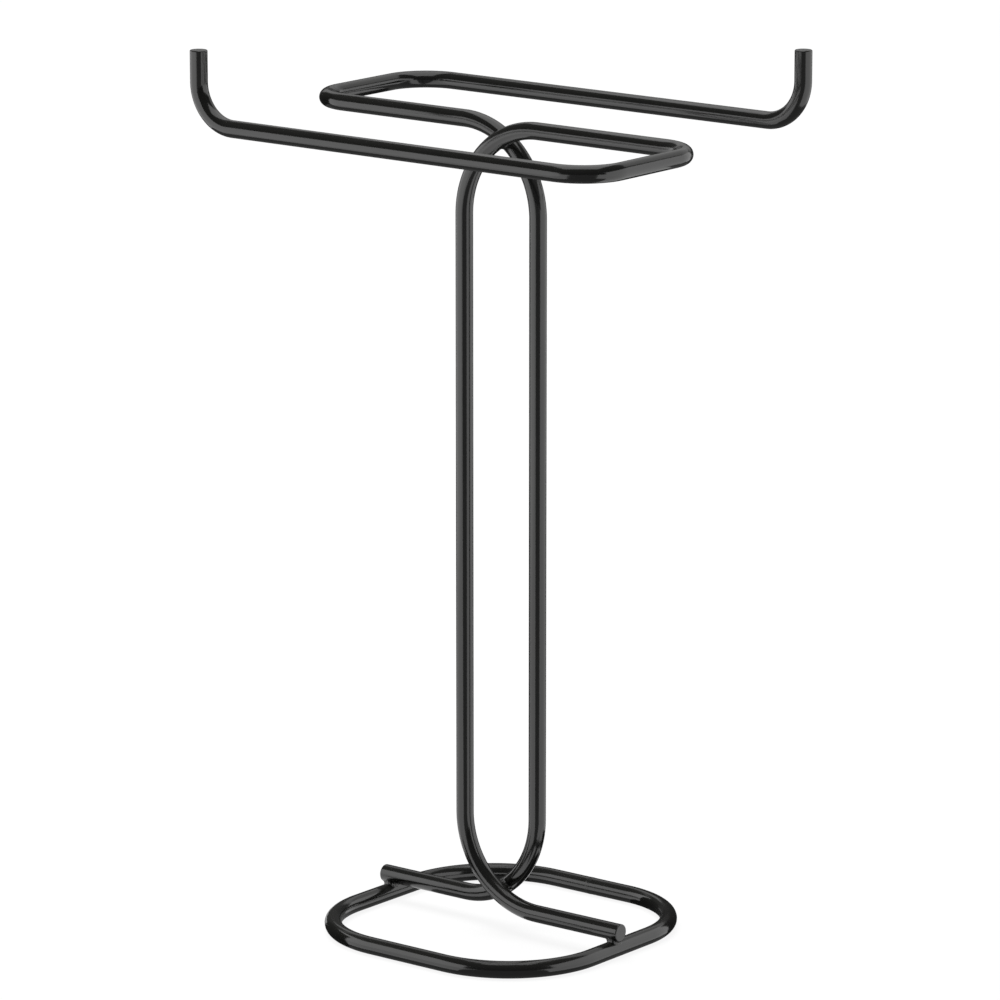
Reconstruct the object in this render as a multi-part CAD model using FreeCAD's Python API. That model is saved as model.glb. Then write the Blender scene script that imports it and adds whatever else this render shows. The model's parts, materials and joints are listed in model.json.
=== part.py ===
"""Countertop towel stand of bent and welded round rod.

Two identical rods are each bent from one length: a foot, an upright, a return, a crossbar, a towel arm
and an upturned tip. The rear rod is the front rod turned half round the stand's axis. The uprights cross
each other twice, where they are welded, and their feet are welded on top of a rounded square base ring.

Millimetres, +Z up, +X along the towel arms. The origin is on the counter, on the axis that the two rods
turn about.
"""

import FreeCAD, Part
import math
import os

Vector = FreeCAD.Vector

# Rod stock
ROD_DIAMETER = 6.5
END_ROUND = 0.4  # edge round on every cut end

# Heights
TOTAL_HEIGHT = 333.0  # from the counter to the top of the upturned tips
TIP_RISE = 27.5  # from a towel arm's centreline to the top of its tip

# Plan sizes, between centrelines unless they say otherwise
UPRIGHT_SPACING = 29.1
ARM_SPACING = 136.5
CROSSBAR_REACH = 93.9  # from the stand's axis to a crossbar
TIP_REACH = 86.2  # from the stand's axis to an upturned tip
RING_WIDTH = 118.3  # outside
FOOT_OVERHANG = 3.2  # a foot's cut end past the centreline of the ring's side

# Bend radii, at the rod's centreline
UPRIGHT_BEND = 34.0
CROSSBAR_BEND = 16.5
TIP_BEND = 16.0
RING_BEND = 38.5

# Welds
WELD_ROOT = 0.2  # thickness of weld metal between two crossing rods
WELD_DIAMETER = 6.2
SEAM_WIDTH = 1.5  # butt weld that closes the ring
SEAM_RISE = 0.15  # how far its bead stands proud of the rod

# Places that follow from the sizes above
ROD_RADIUS = ROD_DIAMETER / 2
ROD_STEP = ROD_DIAMETER + WELD_ROOT  # between the centrelines of two rods that cross and are welded
RING_HALF = (RING_WIDTH - ROD_DIAMETER) / 2
RING_Z = ROD_RADIUS
FOOT_Z = RING_Z + ROD_STEP
ARM_Z = TOTAL_HEIGHT - TIP_RISE
UPRIGHT_X = -UPRIGHT_SPACING / 2
UPRIGHT_Y = -ROD_STEP / 2
ARM_Y = -ARM_SPACING / 2
AXIS_Z = Vector(0, 0, 1)
SAME_POINT = 1e-6  # two points nearer than this are one


def straight_run(start, end):
    """A length of rod from start to end."""
    run = end - start
    return Part.makeCylinder(ROD_RADIUS, run.Length, start, run)


def round_end(run, at):
    """The run with its cut edge rounded at the end that lies at the point."""
    circles = [edge for edge in run.Edges if isinstance(edge.Curve, Part.Circle)]
    rims = [edge for edge in circles if edge.Curve.Center.isEqual(at, SAME_POINT)]
    return run.makeFillet(END_ROUND, rims)


def bend(before, corner, after, radius):
    """The bent stretch of rod at a corner of its route: the solid, and where it begins and ends."""
    inward = (before - corner).normalize()
    outward = (after - corner).normalize()
    turn = math.pi - inward.getAngle(outward)
    setback = radius * math.tan(turn / 2)
    begin = corner + inward * setback
    end = corner + outward * setback
    axis = inward.cross(outward).normalize()
    centre = begin + axis.cross(inward) * radius
    section = Part.Face(Part.Wire(Part.makeCircle(ROD_RADIUS, begin, inward)))
    solid = section.revolve(centre, axis * -1, math.degrees(turn))
    return solid, begin, end


def bent_rod(corners, radii, rounded_ends):
    """One length of rod along straight runs, with a bend of the given radius at each inner corner."""
    pieces = []
    run_start = corners[0]
    for before, corner, after, radius in zip(corners, corners[1:], corners[2:], radii):
        bent, begin, end = bend(before, corner, after, radius)
        pieces += [straight_run(run_start, begin), bent]
        run_start = end
    pieces.append(straight_run(run_start, corners[-1]))
    if rounded_ends:
        pieces[0] = round_end(pieces[0], corners[0])
        pieces[-1] = round_end(pieces[-1], corners[-1])
    return pieces[0].multiFuse(pieces[1:]).removeSplitter()


def make_front_rod():
    """Foot, upright, return, crossbar, towel arm and upturned tip, in one length."""
    foot_end = Vector(RING_HALF + FOOT_OVERHANG, UPRIGHT_Y, FOOT_Z)
    upright_foot = Vector(UPRIGHT_X, UPRIGHT_Y, FOOT_Z)
    upright_head = Vector(UPRIGHT_X, UPRIGHT_Y, ARM_Z)
    return_end = Vector(CROSSBAR_REACH, UPRIGHT_Y, ARM_Z)
    crossbar_end = Vector(CROSSBAR_REACH, ARM_Y, ARM_Z)
    arm_end = Vector(-TIP_REACH, ARM_Y, ARM_Z)
    tip = Vector(-TIP_REACH, ARM_Y, TOTAL_HEIGHT)
    corners = [foot_end, upright_foot, upright_head, return_end, crossbar_end, arm_end, tip]
    radii = [UPRIGHT_BEND, UPRIGHT_BEND, CROSSBAR_BEND, CROSSBAR_BEND, TIP_BEND]
    return bent_rod(corners, radii, rounded_ends=True)


def half_turned(solid):
    """A copy turned half round the stand's axis."""
    turned = solid.copy()
    turned.rotate(Vector(0, 0, 0), AXIS_Z, 180)
    return turned


def make_base_ring():
    """Rounded square ring, bent from one length; its ends leave room for the seam in its rear side."""
    corners = [
        Vector(SEAM_WIDTH / 2, RING_HALF, RING_Z),
        Vector(RING_HALF, RING_HALF, RING_Z),
        Vector(RING_HALF, -RING_HALF, RING_Z),
        Vector(-RING_HALF, -RING_HALF, RING_Z),
        Vector(-RING_HALF, RING_HALF, RING_Z),
        Vector(-SEAM_WIDTH / 2, RING_HALF, RING_Z),
    ]
    return bent_rod(corners, [RING_BEND] * 4, rounded_ends=False)


def make_ring_seam():
    """Butt weld between the ring's two ends, with its bead dressed flat underneath."""
    bead_radius = ROD_RADIUS + SEAM_RISE
    start = Vector(-SEAM_WIDTH / 2, RING_HALF, RING_Z)
    bead = Part.makeCylinder(bead_radius, SEAM_WIDTH, start, Vector(1, 0, 0))
    below = Part.makeBox(2 * SEAM_WIDTH, 4 * bead_radius, 2 * bead_radius)
    below.translate(Vector(-SEAM_WIDTH, RING_HALF - 2 * bead_radius, -2 * bead_radius))
    return bead.cut(below)


def cross_weld(centre, rods):
    """The weld metal in the crevice between two rods that cross at the point."""
    return Part.makeSphere(WELD_DIAMETER / 2, centre).cut(rods)


def crossing_height_in_bend():
    """How far from the level of a foot or return the two uprights' bends cross on the stand's axis."""
    reach = UPRIGHT_BEND + UPRIGHT_X
    return UPRIGHT_BEND - math.sqrt(UPRIGHT_BEND**2 - reach**2)


def make_parts():
    front = make_front_rod()
    rear = half_turned(front)
    ring = make_base_ring()
    foot_contact = Vector(RING_HALF, UPRIGHT_Y, (RING_Z + FOOT_Z) / 2)
    front_foot_weld = cross_weld(foot_contact, [front, ring])
    crossing = crossing_height_in_bend()
    return {
        "front_arm_rod": front,
        "rear_arm_rod": rear,
        "base_ring": ring,
        "ring_seam_weld": make_ring_seam(),
        "upper_crossing_weld": cross_weld(Vector(0, 0, ARM_Z - crossing), [front, rear]),
        "lower_crossing_weld": cross_weld(Vector(0, 0, FOOT_Z + crossing), [front, rear]),
        "front_foot_weld": front_foot_weld,
        "rear_foot_weld": half_turned(front_foot_weld),
    }


os.makedirs("parts", exist_ok=True)
for name, solid in make_parts().items():
    solid.exportStep(f"parts/{name}.step")
    print(name, "solids", len(solid.Solids), "valid", solid.isValid(), "volume", round(solid.Volume, 3))
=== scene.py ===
"""Countertop towel stand: the looks of its bent, welded and powder-coated rods.

Everything is in metres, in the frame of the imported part: +Z up, +X along the towel arms, the origin on the
counter at the stand's axis. Each CAD node is replaced by a finer piece of the same size in the same place.
"""

import json
import math

import bmesh
import bpy
from mathutils import Matrix, Vector, noise


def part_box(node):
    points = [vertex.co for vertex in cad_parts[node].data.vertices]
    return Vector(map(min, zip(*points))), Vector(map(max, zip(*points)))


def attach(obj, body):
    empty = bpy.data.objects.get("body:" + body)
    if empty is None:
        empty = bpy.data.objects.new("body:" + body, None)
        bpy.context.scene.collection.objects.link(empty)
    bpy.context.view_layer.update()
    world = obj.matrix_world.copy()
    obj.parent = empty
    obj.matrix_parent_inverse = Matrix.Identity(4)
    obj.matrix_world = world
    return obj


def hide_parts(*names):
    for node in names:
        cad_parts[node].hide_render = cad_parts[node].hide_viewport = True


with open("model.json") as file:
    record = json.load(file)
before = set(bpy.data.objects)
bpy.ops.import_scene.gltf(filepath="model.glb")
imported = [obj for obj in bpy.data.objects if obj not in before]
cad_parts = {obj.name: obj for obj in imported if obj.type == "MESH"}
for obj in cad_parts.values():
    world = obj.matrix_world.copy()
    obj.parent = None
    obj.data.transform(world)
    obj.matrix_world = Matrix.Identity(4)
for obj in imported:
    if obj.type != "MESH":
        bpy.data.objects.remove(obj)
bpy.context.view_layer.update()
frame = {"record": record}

MM = 0.001
ALONG_X = Vector((1, 0, 0))
ALONG_Y = Vector((0, 1, 0))
UP = Vector((0, 0, 1))
HALF_TURN = Matrix.Rotation(math.pi, 3, "Z")

# Sizes of the stand, read from the frame where it holds them
MOUNTS = {mount["name"]: mount for mount in frame["record"]["mounts"]}
ROD_RADIUS = MOUNTS["front_tip"]["dims"]["r_mm"] * MM
FRONT_LOW, FRONT_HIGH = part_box("front_arm_rod")
_, RING_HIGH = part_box("base_ring")
TIP_X, ARM_Y, _ = MOUNTS["front_tip"]["pos_m"]
TIP_TOP = FRONT_HIGH.z
CROSSBAR_X = FRONT_HIGH.x - ROD_RADIUS
UPRIGHT_Y = FRONT_HIGH.y - ROD_RADIUS
FOOT_Z = FRONT_LOW.z + ROD_RADIUS
RING_HALF = RING_HIGH.x - ROD_RADIUS
RING_Z = ROD_RADIUS

# Sizes that the frame's boxes do not give, as the part has them
TIP_RISE = 27.5 * MM
UPRIGHT_X = -29.1 / 2 * MM
FOOT_OVERHANG = 3.2 * MM
UPRIGHT_BEND = 34.0 * MM
CROSSBAR_BEND = 16.5 * MM
TIP_BEND = 16.0 * MM
RING_BEND = 38.5 * MM
SEAM_WIDTH = 1.5 * MM
END_ROUND = 0.4 * MM
ARM_Z = TIP_TOP - TIP_RISE

# How finely the pieces are meshed
ROD_SIDES = 80
BEND_STEPS = 48
END_ROUND_STEPS = 4
WELD_AROUND = 96
WELD_ACROSS = 14

# The photograph's view: a long lens, from the front right and 13 degrees above level
VIEW_AZIMUTH = math.radians(38.31)
VIEW_ELEVATION = math.radians(13.05)
VIEW_DISTANCE = 2.230
VIEW_AIM_HEIGHT = 0.165
VIEW_AIM_RIGHT = -0.0004
SENSOR_WIDTH = 36.0
LENS = 217.1

# The studio's floor, and the cards that lie on it
FLOOR_HALF = 40.0
WEDGE_LENGTH = 30.0
CARD_LIFT = 0.3 * MM


def linear_colour(code):
    """An sRGB hex colour as linear RGBA."""
    channels = [int(code[i : i + 2], 16) / 255 for i in (1, 3, 5)]
    return [c / 12.92 if c <= 0.04045 else ((c + 0.055) / 1.055) ** 2.4 for c in channels] + [1.0]


def add_node(tree, kind, inputs=None, **settings):
    """Adds a node with its settings, and gives each named input a value or a link from another node."""
    node = tree.nodes.new(kind)
    for name, value in settings.items():
        setattr(node, name, value)
    for name, value in (inputs or {}).items():
        socket = node.inputs[name]
        if isinstance(value, bpy.types.NodeSocket):
            tree.links.new(value, socket)
        else:
            socket.default_value = value
    return node


def new_material(name):
    """An empty node material and its tree."""
    material = bpy.data.materials.new(name)
    material.use_nodes = True
    material.node_tree.nodes.clear()
    return material, material.node_tree


def link_object(name, data):
    """A new object in the scene, of a mesh, a lamp or a camera."""
    thing = bpy.data.objects.new(name, data)
    bpy.context.scene.collection.objects.link(thing)
    return thing


def powder_coat(name, thick, thin, roughness, peel_mm, peel_depth_mm):
    """Black polyester powder coat, sprayed dry and baked.

    The film flows in the oven but not quite flat, so its semi-gloss reflections wander a little: orange peel
    about a millimetre across, with a finer grain on it. Where the film is thick it is blacker and glossier.
    The colours and the pair of roughnesses are those of its thick and its thin places.
    """
    film_mm = 24.0
    # A real coat's grain is finer than 0.1 mm. It is drawn coarser, so that a close view shows it.
    grain_mm = 0.3
    grain_depth_mm = 0.0008
    # Polyester is near 1.5. This is what makes the reflections as bright as the photograph's.
    ior = 1.75
    material, tree = new_material(name)
    place = add_node(tree, "ShaderNodeTexCoord").outputs["Object"]
    film, peel, grain = (
        add_node(tree, "ShaderNodeTexNoise", {"Vector": place, "Scale": 1 / (size * MM), "Detail": detail})
        for size, detail in ((film_mm, 2.0), (peel_mm, 1.0), (grain_mm, 2.0))
    )
    # Noise seldom leaves 0.3 to 0.7, so that range is spread over the whole change from thin to thick
    thickness = add_node(
        tree,
        "ShaderNodeMapRange",
        {"Value": film.outputs["Fac"], "From Min": 0.3, "From Max": 0.7},
    )
    # Mix holds its colours at inputs 6 and 7, and its mixed colour at output 2
    colour = add_node(
        tree,
        "ShaderNodeMix",
        {0: thickness.outputs["Result"], 6: linear_colour(thin), 7: linear_colour(thick)},
        data_type="RGBA",
    )
    gloss = add_node(
        tree,
        "ShaderNodeMapRange",
        {"Value": thickness.outputs["Result"], "To Min": roughness[1], "To Max": roughness[0]},
    )
    waves = add_node(
        tree,
        "ShaderNodeBump",
        {"Height": peel.outputs["Fac"], "Distance": peel_depth_mm * MM},
    )
    surface = add_node(
        tree,
        "ShaderNodeBump",
        {
            "Height": grain.outputs["Fac"],
            "Distance": grain_depth_mm * MM,
            "Normal": waves.outputs["Normal"],
        },
    )
    shader = add_node(
        tree,
        "ShaderNodeBsdfPrincipled",
        {
            "Base Color": colour.outputs[2],
            "Roughness": gloss.outputs["Result"],
            "IOR": ior,
            "Normal": surface.outputs["Normal"],
        },
    )
    add_node(tree, "ShaderNodeOutputMaterial", {"Surface": shader.outputs["BSDF"]})
    return material


def stand_coats():
    """The coat as it is on the drawn rod, on the rippled welds and on the cut ends, rougher each time."""
    on_rod = powder_coat(
        "powder_coat_baked_on_rod",
        thick="#1f1f1d",
        thin="#242422",
        roughness=(0.13, 0.17),
        peel_mm=1.6,
        peel_depth_mm=0.008,
    )
    on_weld = powder_coat(
        "powder_coat_baked_on_weld",
        thick="#1d1d1b",
        thin="#252523",
        roughness=(0.20, 0.28),
        peel_mm=0.9,
        peel_depth_mm=0.020,
    )
    on_cut_end = powder_coat(
        "powder_coat_baked_on_cut_end",
        thick="#21211f",
        thin="#282826",
        roughness=(0.24, 0.32),
        peel_mm=0.7,
        peel_depth_mm=0.010,
    )
    return on_rod, on_weld, on_cut_end


def rod_tree():
    """Geometry nodes that bend a rod: straight runs, rounded at their corners and swept with a circle."""
    tree = bpy.data.node_groups.new("bent_rod", "GeometryNodeTree")
    sockets = {
        "Route": "NodeSocketGeometry",
        "Rod Radius": "NodeSocketFloat",
        "Sides": "NodeSocketInt",
        "Bend Steps": "NodeSocketInt",
        "Coat": "NodeSocketMaterial",
    }
    for name, kind in sockets.items():
        tree.interface.new_socket(name, in_out="INPUT", socket_type=kind)
    tree.interface.new_socket("Rod", in_out="OUTPUT", socket_type="NodeSocketGeometry")
    given = add_node(tree, "NodeGroupInput").outputs
    route = add_node(tree, "GeometryNodeMeshToCurve", {"Mesh": given["Route"]})
    bend = add_node(tree, "GeometryNodeInputNamedAttribute", {"Name": "bend_radius"}, data_type="FLOAT")
    bent = add_node(
        tree,
        "GeometryNodeFilletCurve",
        {
            "Curve": route.outputs["Curve"],
            "Count": given["Bend Steps"],
            "Radius": bend.outputs["Attribute"],
        },
        mode="POLY",
    )
    section = add_node(
        tree,
        "GeometryNodeCurvePrimitiveCircle",
        {"Resolution": given["Sides"], "Radius": given["Rod Radius"]},
    )
    swept = add_node(
        tree,
        "GeometryNodeCurveToMesh",
        {"Curve": bent.outputs["Curve"], "Profile Curve": section.outputs["Curve"], "Fill Caps": True},
    )
    whole = add_node(tree, "GeometryNodeRealizeInstances", {"Geometry": swept.outputs["Mesh"]})
    coated = add_node(
        tree,
        "GeometryNodeSetMaterial",
        {"Geometry": whole.outputs["Geometry"], "Material": given["Coat"]},
    )
    add_node(tree, "NodeGroupOutput", {"Rod": coated.outputs["Geometry"]})
    return tree


def evaluated_mesh(thing, name):
    """The object's mesh with its modifiers applied, as plain data."""
    graph = bpy.context.evaluated_depsgraph_get()
    shown = thing.evaluated_get(graph)
    mesh = bpy.data.meshes.new_from_object(shown, preserve_all_data_layers=True, depsgraph=graph)
    mesh.name = name
    return mesh


def bent_rod(name, corners, bends, tree, coat, cut_coat, rounded_ends):
    """One rod as a mesh object: the tree run along the corners, with the cut ends in their own coat."""
    route = bpy.data.meshes.new(name)
    route.from_pydata(corners, [(i, i + 1) for i in range(len(corners) - 1)], [])
    radius = route.attributes.new("bend_radius", "FLOAT", "POINT")
    radius.data.foreach_set("value", [0.0, *bends, 0.0])
    piece = link_object(name, route)
    sweep = piece.modifiers.new("sweep", "NODES")
    sweep.node_group = tree
    values = {"Rod Radius": ROD_RADIUS, "Sides": ROD_SIDES, "Bend Steps": BEND_STEPS, "Coat": coat}
    for item in tree.interface.items_tree:
        if item.name in values:
            sweep[item.identifier] = values[item.name]
    if rounded_ends:
        ends = piece.modifiers.new("ends", "BEVEL")
        ends.width = END_ROUND
        ends.segments = END_ROUND_STEPS
        ends.limit_method = "ANGLE"
        ends.angle_limit = math.radians(60)
    mesh = evaluated_mesh(piece, name)
    piece.modifiers.clear()
    piece.data = mesh
    mesh.materials.append(cut_coat)
    for face in mesh.polygons:
        is_cut_end = len(face.vertices) > 4
        face.use_smooth = not is_cut_end
        face.material_index = 1 if is_cut_end else 0
    return piece


def half_turned(piece, name):
    """A copy of the piece, turned half round the stand's axis."""
    mesh = piece.data.copy()
    mesh.transform(HALF_TURN.to_4x4())
    return link_object(name, mesh)


def front_rod_route():
    """Corners and bend radii of the front rod, from its foot to its tip."""
    foot_end = Vector((RING_HALF + FOOT_OVERHANG, UPRIGHT_Y, FOOT_Z))
    upright_foot = Vector((UPRIGHT_X, UPRIGHT_Y, FOOT_Z))
    upright_head = Vector((UPRIGHT_X, UPRIGHT_Y, ARM_Z))
    return_end = Vector((CROSSBAR_X, UPRIGHT_Y, ARM_Z))
    crossbar_end = Vector((CROSSBAR_X, ARM_Y, ARM_Z))
    arm_end = Vector((TIP_X, ARM_Y, ARM_Z))
    tip = Vector((TIP_X, ARM_Y, TIP_TOP))
    corners = [foot_end, upright_foot, upright_head, return_end, crossbar_end, arm_end, tip]
    return corners, [UPRIGHT_BEND, UPRIGHT_BEND, CROSSBAR_BEND, CROSSBAR_BEND, TIP_BEND]


def ring_route():
    """Corners and bend radii of the base ring, round from one side of its seam to the other."""
    seam = SEAM_WIDTH / 2
    half = RING_HALF
    plan = [(seam, half), (half, half), (half, -half), (-half, -half), (-half, half), (-seam, half)]
    return [(x, y, RING_Z) for x, y in plan], [RING_BEND] * 4


def lathe(name, rings, coat):
    """A closed mesh object through rings of points, with a fan at each end."""
    shape = bmesh.new()
    loops = [[shape.verts.new(point) for point in ring] for ring in rings]
    count = len(rings[0])
    for lower, upper in zip(loops, loops[1:]):
        for i in range(count):
            j = (i + 1) % count
            shape.faces.new((lower[i], lower[j], upper[j], upper[i]))
    for loop in (loops[0], loops[-1]):
        hub = shape.verts.new(sum((v.co for v in loop), Vector()) / count)
        for i in range(count):
            shape.faces.new((loop[i], loop[(i + 1) % count], hub))
    bmesh.ops.recalc_face_normals(shape, faces=shape.faces)
    mesh = bpy.data.meshes.new(name)
    shape.to_mesh(mesh)
    shape.free()
    mesh.materials.append(coat)
    mesh.shade_smooth()
    return link_object(name, mesh)


def crossing_bead(name, centre, lift, upper_run, lower_run, root, reaches, coat):
    """Weld bead round the contact of two crossing rods: a hollow fillet, rippled and a little uneven.

    The lift points from the lower rod to the upper one, the root is the gap between their skins, and the
    reaches are how far the bead runs out on the upper and the lower rod.
    """
    steepest_toe = math.radians(66)  # how far round a rod's section the bead may climb
    hollow = 0.14  # how much narrower the bead is in its middle than at its toes, as a share
    ripple = 0.05 * MM
    ripples = 19
    ripple_lean = 2.0
    wander = 0.22 * MM
    wander_scale = 1.7
    sunk = 0.35 * MM  # how far the bead's closed ends go into the rods
    across = lift.cross(upper_run)

    def skin_height(offset):
        """How far a rod's skin is from the middle of the gap, beside its centreline by the offset."""
        return root / 2 + ROD_RADIUS - math.sqrt(ROD_RADIUS**2 - min(offset, ROD_RADIUS) ** 2)

    rings = [[] for _ in range(WELD_ACROSS + 3)]
    for i in range(WELD_AROUND):
        turn = 2 * math.pi * i / WELD_AROUND
        out = upper_run * math.cos(turn) + across * math.sin(turn)
        sines = [out.cross(run).length for run in (upper_run, lower_run)]
        uneven = wander * noise.noise(centre / MM + out * wander_scale)
        widest = ROD_RADIUS * math.sin(steepest_toe) / max(sines)
        upper_toe, lower_toe = (min(reach, widest) + uneven for reach in reaches)
        top, bottom = skin_height(upper_toe * sines[0]), skin_height(lower_toe * sines[1])
        for j, ring in enumerate(rings):
            t = max(-1.0, min(1.0, 2 * (j - 1) / WELD_ACROSS - 1))
            bulge = ripple * math.cos(ripples * turn + ripple_lean * t) * (1 - t * t)
            toe = (upper_toe + lower_toe) / 2 + (upper_toe - lower_toe) / 2 * t
            radius = toe * (1 - hollow * (1 - t * t)) + bulge
            height = (top + bottom) / 2 * t + (top - bottom) / 2
            height += sunk * ((j == len(rings) - 1) - (j == 0))
            ring.append(centre + out * radius + lift * height)
    return lathe(name, rings, coat)


def uprights_bead(name, at_head, coat):
    """Weld bead where the uprights' bends cross, at the head or at the foot of their loop."""
    reaches = (4.4 * MM, 4.4 * MM)
    root = -2 * (UPRIGHT_Y + ROD_RADIUS)
    run = UPRIGHT_BEND + UPRIGHT_X
    rise = math.sqrt(UPRIGHT_BEND**2 - run**2)
    climbing = Vector((rise, 0, run)) / UPRIGHT_BEND
    falling = Vector((rise, 0, -run)) / UPRIGHT_BEND
    if at_head:
        centre = UP * (ARM_Z - UPRIGHT_BEND + rise)
        front_run, rear_run = climbing, falling
    else:
        centre = UP * (FOOT_Z + UPRIGHT_BEND - rise)
        front_run, rear_run = falling, climbing
    return crossing_bead(name, centre, -ALONG_Y, front_run, rear_run, root, reaches, coat)


def foot_bead(name, coat):
    """Weld bead where the front rod's foot stands on the ring, wider on the foot than on the ring."""
    reaches = (4.7 * MM, 2.8 * MM)
    root = FOOT_Z - RING_Z - 2 * ROD_RADIUS
    centre = Vector((RING_HALF, UPRIGHT_Y, RING_Z + ROD_RADIUS + root / 2))
    return crossing_bead(name, centre, UP, ALONG_X, ALONG_Y, root, reaches, coat)


def seam_bead(name, coat):
    """Butt weld that closes the ring: a low crown round the rod, dressed flat where it meets the counter."""
    half_width = 2.0 * MM
    rise = 0.05 * MM
    ripple = 0.012 * MM
    ripples = 17
    ripple_lean = 3.0
    sunk = 0.04 * MM
    rings = []
    for j in range(WELD_ACROSS + 1):
        t = 2 * j / WELD_ACROSS - 1
        crown = math.cos(t * math.pi / 2) ** 2
        ring = []
        for i in range(WELD_AROUND):
            turn = 2 * math.pi * i / WELD_AROUND
            wave = ripple * math.cos(ripples * turn + ripple_lean * t)
            radius = ROD_RADIUS - sunk + (rise + sunk + wave) * crown
            height = max(RING_Z + radius * math.sin(turn), 0.0)
            ring.append(Vector((half_width * t, RING_HALF + radius * math.cos(turn), height)))
        rings.append(ring)
    return lathe(name, rings, coat)


def add_piece(piece, node):
    """Puts a finished piece in the place of its CAD node."""
    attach(piece, "root")
    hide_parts(node)


def build_stand():
    """Three bent rods and five weld beads."""
    coat, weld_coat, cut_coat = stand_coats()
    tree = rod_tree()
    front = bent_rod("front_rod", *front_rod_route(), tree, coat, cut_coat, rounded_ends=True)
    rear = half_turned(front, "rear_rod")
    ring = bent_rod("ring", *ring_route(), tree, coat, cut_coat, rounded_ends=False)
    upper_bead = uprights_bead("upper_crossing_bead", at_head=True, coat=weld_coat)
    lower_bead = uprights_bead("lower_crossing_bead", at_head=False, coat=weld_coat)
    front_foot_bead = foot_bead("front_foot_bead", weld_coat)
    rear_foot_bead = half_turned(front_foot_bead, "rear_foot_bead")
    add_piece(front, "front_arm_rod")
    add_piece(rear, "rear_arm_rod")
    add_piece(ring, "base_ring")
    add_piece(seam_bead("ring_seam_bead", weld_coat), "ring_seam_weld")
    add_piece(upper_bead, "upper_crossing_weld")
    add_piece(lower_bead, "lower_crossing_weld")
    add_piece(front_foot_bead, "front_foot_weld")
    add_piece(rear_foot_bead, "rear_foot_weld")


def view_directions():
    """Level direction towards the camera, its right and its back, as unit vectors."""
    level = Vector((math.sin(VIEW_AZIMUTH), -math.cos(VIEW_AZIMUTH), 0))
    right = Vector((math.cos(VIEW_AZIMUTH), math.sin(VIEW_AZIMUTH), 0))
    back = level * math.cos(VIEW_ELEVATION) + UP * math.sin(VIEW_ELEVATION)
    return level, right, back


def add_camera():
    """The photograph's camera."""
    _, right, back = view_directions()
    data = bpy.data.cameras.new("camera")
    data.sensor_width = SENSOR_WIDTH
    data.lens = LENS
    data.clip_start, data.clip_end = 0.1, 100.0
    camera = link_object("camera", data)
    camera.location = UP * VIEW_AIM_HEIGHT + right * VIEW_AIM_RIGHT + back * VIEW_DISTANCE
    camera.rotation_euler = (-back).to_track_quat("-Z", "Y").to_euler()
    bpy.context.scene.camera = camera


def seen_directly(tree):
    """1 for rays from the camera and for those that reflections and glass send on, else 0."""
    path = add_node(tree, "ShaderNodeLightPath").outputs
    seen = path["Is Camera Ray"]
    for ray in ("Is Glossy Ray", "Is Transmission Ray"):
        seen = add_node(tree, "ShaderNodeMath", {0: seen, 1: path[ray]}, operation="MAXIMUM").outputs[0]
    return seen


def seamless_paper():
    """Matte seamless paper, white to the camera and in reflections.

    Most of that white is its own glow, which lights nothing. The grey under it takes a faint shadow.
    """
    own_white = 0.90
    material, tree = new_material("seamless_paper_matte")
    paper = add_node(tree, "ShaderNodeBsdfDiffuse", {"Color": linear_colour("#686868")}).outputs[0]
    white = {"Color": linear_colour("#ffffff"), "Strength": own_white}
    glow = add_node(tree, "ShaderNodeEmission", white).outputs[0]
    lit = add_node(tree, "ShaderNodeAddShader", {0: paper, 1: glow}).outputs[0]
    mix = add_node(tree, "ShaderNodeMixShader", {"Fac": seen_directly(tree), 1: paper, 2: lit})
    add_node(tree, "ShaderNodeOutputMaterial", {"Surface": mix.outputs[0]})
    material.cycles.emission_sampling = "NONE"
    return material


def glowing_card(name, brightness):
    """A card that glows evenly, as if lit: painted light, white where its brightness is 1."""
    material, tree = new_material(name)
    light = {"Color": linear_colour("#ffffff"), "Strength": brightness}
    card = add_node(tree, "ShaderNodeEmission", light)
    add_node(tree, "ShaderNodeOutputMaterial", {"Surface": card.outputs[0]})
    material.cycles.emission_sampling = "NONE"
    return material


def add_flat(name, outlines, material):
    """A stage object of flat faces, one inside each outline."""
    points = [point for outline in outlines for point in outline]
    faces = []
    for outline in outlines:
        start = sum(len(face) for face in faces)
        faces.append(range(start, start + len(outline)))
    mesh = bpy.data.meshes.new(name)
    mesh.from_pydata(points, [], faces)
    mesh.materials.append(material)
    thing = link_object(name, mesh)
    return thing


def add_reflected(name, outlines, material):
    """Cards that only the rods' reflections show, as painted reflections; they cast no shadow."""
    cards = add_flat(name, outlines, material)
    for ray in ("camera", "diffuse", "transmission", "volume_scatter", "shadow"):
        setattr(cards, f"visible_{ray}", False)


def add_floor():
    """The pale floor that the stand is on, wide enough that its edge stays out of sight."""
    signs = ((-1, -1), (1, -1), (1, 1), (-1, 1))
    corners = [(x * FLOOR_HALF, y * FLOOR_HALF, 0) for x, y in signs]
    add_flat("floor", [corners], seamless_paper())


def strip(start, end, half_width, drop):
    """Outline of a level strip below a run, and longer than it by half the strip's width at each end."""
    along = (end - start).normalized() * half_width
    side = UP.cross(along)
    low_start, low_end = start - along - UP * drop, end + along - UP * drop
    return [low_start - side, low_end - side, low_end + side, low_start + side]


def wedge(direction, half_angle, start):
    """Outline of a wedge on the floor that opens away from the stand, with its half angle in degrees."""
    side = UP.cross(direction)
    apex = direction * start + UP * CARD_LIFT
    angles = (math.radians(-half_angle), math.radians(half_angle))
    rays = [direction * math.cos(angle) + side * math.sin(angle) for angle in angles]
    return [apex, *(apex + ray * WEDGE_LENGTH for ray in rays)]


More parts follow.
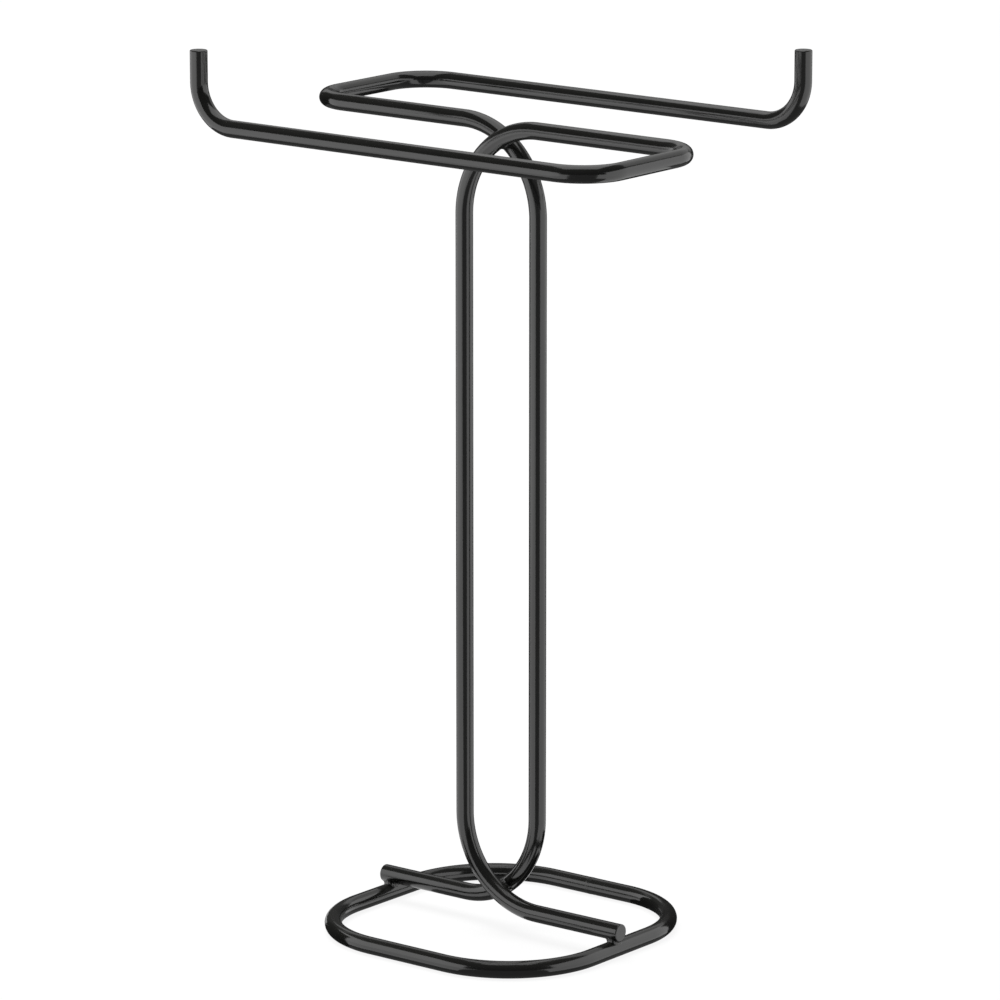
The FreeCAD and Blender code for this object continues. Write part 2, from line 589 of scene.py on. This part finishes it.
def panel(turn, rise, distance, middle, width, height):
    """Outline of a panel that faces the stand's axis at the height of the middle.

    Its place is turned from the camera's side to the right, and raised, by angles in degrees.
    """
    level, right, _ = view_directions()
    turn, rise = math.radians(turn), math.radians(rise)
    out = (level * math.cos(turn) + right * math.sin(turn)) * math.cos(rise) + UP * math.sin(rise)
    side = UP.cross(out).normalized() * (width / 2)
    top = out.cross(side).normalized() * (height / 2)
    centre = UP * middle + out * distance
    return [centre - side - top, centre + side - top, centre + side + top, centre - side + top]


def rounded_square(half, radius, height):
    """Points round a square with rounded corners."""
    steps = 12
    points = []
    for corner in range(4):
        turn = Matrix.Rotation(corner * math.pi / 2, 3, "Z")
        centre = Vector((half - radius, half - radius, height))
        for step in range(steps + 1):
            angle = step / steps * math.pi / 2
            point = centre + Vector((math.cos(angle), math.sin(angle), 0)) * radius
            points.append(turn @ point)
    return points


def ring_band(half_width):
    """Outlines of a band on the floor that runs below the ring."""
    inner, outer = (
        rounded_square(RING_HALF + offset, RING_BEND + offset, CARD_LIFT)
        for offset in (-half_width, half_width)
    )
    corners = list(zip(inner, outer))
    return [[*first, *second[::-1]] for first, second in zip(corners, corners[1:] + corners[:1])]


def add_charcoal_painted_reflections():
    """Charcoal cards: a wedge in front of the stand, and strips under its ring, returns, arms and feet.

    The wedge paints a dark reflection down each upright. The strips are painted shade on the floor below the
    ring, returns, arms and feet, seen only in reflection, and darken the undersides above them.
    """
    level, _, _ = view_directions()
    corners, _ = front_rod_route()
    foot_end, upright_foot, upright_head, return_end, crossbar_end, arm_end, _ = corners
    foot_start = upright_foot + ALONG_X * UPRIGHT_BEND
    return_start = upright_head + ALONG_X * UPRIGHT_BEND
    arm_drop = 12 * MM
    foot_drop = FOOT_Z - CARD_LIFT
    under_arm = {"half_width": 9.5 * MM, "drop": arm_drop}
    under_foot = {"half_width": 11 * MM, "drop": foot_drop}
    runs = [
        (return_start, return_end, under_arm),
        (crossbar_end, arm_end, under_arm),
        (foot_start, foot_end - ALONG_X * 30 * MM, under_foot),
    ]
    outlines = [wedge(level, half_angle=29, start=0.03), *ring_band(half_width=5.5 * MM)]
    for start, end, sizes in runs:
        outlines.append(strip(start, end, **sizes))
        outlines.append(strip(HALF_TURN @ start, HALF_TURN @ end, **sizes))

    # Painted shade: a wider patch under the bend of the rear tip, and a narrow one that runs on under the
    # front foot
    rear_bend = HALF_TURN @ arm_end
    past_rear_bend = rear_bend + ALONG_Y * 14 * MM
    outlines.append(strip(rear_bend, past_rear_bend, half_width=14 * MM, drop=arm_drop + CARD_LIFT))
    tail_start, tail_end = (foot_end - ALONG_X * short * MM for short in (35, 18))
    outlines.append(strip(tail_start, tail_end, half_width=9 * MM, drop=foot_drop))
    add_reflected("dark_cards", outlines, glowing_card("painted_reflection_charcoal_glow", 0.17))


def from_axis(toward_camera_mm, right_mm, height):
    """The point at that height, off the stand's axis by that much towards the camera and to its right."""
    level, right, _ = view_directions()
    return (level * toward_camera_mm + right * right_mm) * MM + UP * height


def floor_patch(*places):
    """Outline of a patch on the floor, through places given as from_axis takes them."""
    return [from_axis(*place, 2 * CARD_LIFT) for place in places]


def screen(start, end, top, bottom=0.0):
    """Outline of an upright screen between two places given as from_axis takes them."""
    low = [from_axis(*start, bottom), from_axis(*end, bottom)]
    return low + [from_axis(*end, top), from_axis(*start, top)]


def add_black_painted_reflections():
    """Black cards: a wedge behind the stand, and patches and screens close to some of its bends.

    The wedge paints dark reflections on the rods' edges, which mirror what lies behind them. The others
    paint dark reflections into the bends.
    """
    level, _, _ = view_directions()
    beside_left_ring_corner = [
        floor_patch((29, -57), (24.5, -72), (-30, -72), (-30, -64), (-8, -64)),
        screen((24.5, -72), (-4, -72), top=15 * MM),
    ]
    beside_rear_crossbar = screen((-54, -72), (-72, -72), top=ARM_Z + 12 * MM, bottom=ARM_Z - 6 * MM)
    beside_right_ring_corner = [
        floor_patch((16, 60), (6.6, 72), (-20, 72), (-20, 62)),
        screen((6.6, 72), (-20, 72), top=15 * MM),
        screen((-20, 72), (-50, 48), top=17 * MM),
    ]
    inside_right_ring_corner = [
        floor_patch((-8, 59.7), (-16, 51), (-22, 44), (-27, 44), (-30, 50), (-36, 54)),
        screen((-16, 51), (-24.5, 50.5), top=12 * MM),
    ]
    below_right_upright = floor_patch((20, 30), (8, 50), (-15, 48), (-22, 30), (-24, 6), (0, 6))
    outlines = [
        wedge(-level, half_angle=54, start=0.05),
        *beside_left_ring_corner,
        beside_rear_crossbar,
        *beside_right_ring_corner,
        *inside_right_ring_corner,
        below_right_upright,
    ]
    add_reflected("black_card", outlines, glowing_card("painted_reflection_black_glow", 0.03))


def add_painted_highlight_panels():
    """Lit panels: one at each side, a wide one high behind the stand, one overhead and a dim bar behind."""
    level, _, _ = view_directions()
    overhead = UP * 0.7
    near_end, far_end = overhead + level * 0.02, overhead - level * 0.27
    # The panels glow but light nothing: seen only in the rods' reflections, they paint the highlight bands
    # there.
    panels = {
        "left_panel": (1.3, panel(turn=-90, rise=0, distance=0.57, middle=0.235, width=1.2, height=0.47)),
        "right_panel": (1.1, panel(turn=90, rise=0, distance=0.57, middle=0.285, width=1.2, height=0.57)),
        "back_panel": (0.6, panel(turn=159, rise=36, distance=1.5, middle=0.2, width=2.3, height=0.75)),
        "top_panel": (1.15, strip(near_end, far_end, half_width=0.18, drop=0.0)),
        "tip_panel": (0.4, panel(turn=180, rise=0, distance=0.45, middle=0.43, width=0.9, height=0.09)),
    }
    for name, (brightness, outline) in panels.items():
        add_reflected(name, [outline], glowing_card(f"card_{name}", brightness))


def add_overhead_light():
    """Even soft light from overhead, at the level at which a colour looks as it is written."""
    level, right, _ = view_directions()
    data = bpy.data.lights.new("overhead", "SUN")
    data.angle = math.radians(50)
    # A sun as strong as pi shows a white surface that faces it as white
    data.energy = 0.85 * math.pi
    lamp = link_object("overhead", data)
    lamp.rotation_euler = (level * 0.2 + right * 0.15 - UP).to_track_quat("-Z", "Y").to_euler()
    lamp.visible_glossy = False


def add_world():
    """A dim room."""
    world = bpy.data.worlds.new("studio")
    bpy.context.scene.world = world
    world.use_nodes = True
    tree = world.node_tree
    tree.nodes.clear()
    dim = {"Color": linear_colour("#ffffff"), "Strength": 0.07}
    room = add_node(tree, "ShaderNodeBackground", dim)
    add_node(tree, "ShaderNodeOutputWorld", {"Surface": room.outputs[0]})


build_stand()
add_camera()
add_floor()
add_charcoal_painted_reflections()
add_black_painted_reflections()
add_painted_highlight_panels()
add_overhead_light()
add_world()
bpy.context.scene.view_settings.view_transform = "Standard"
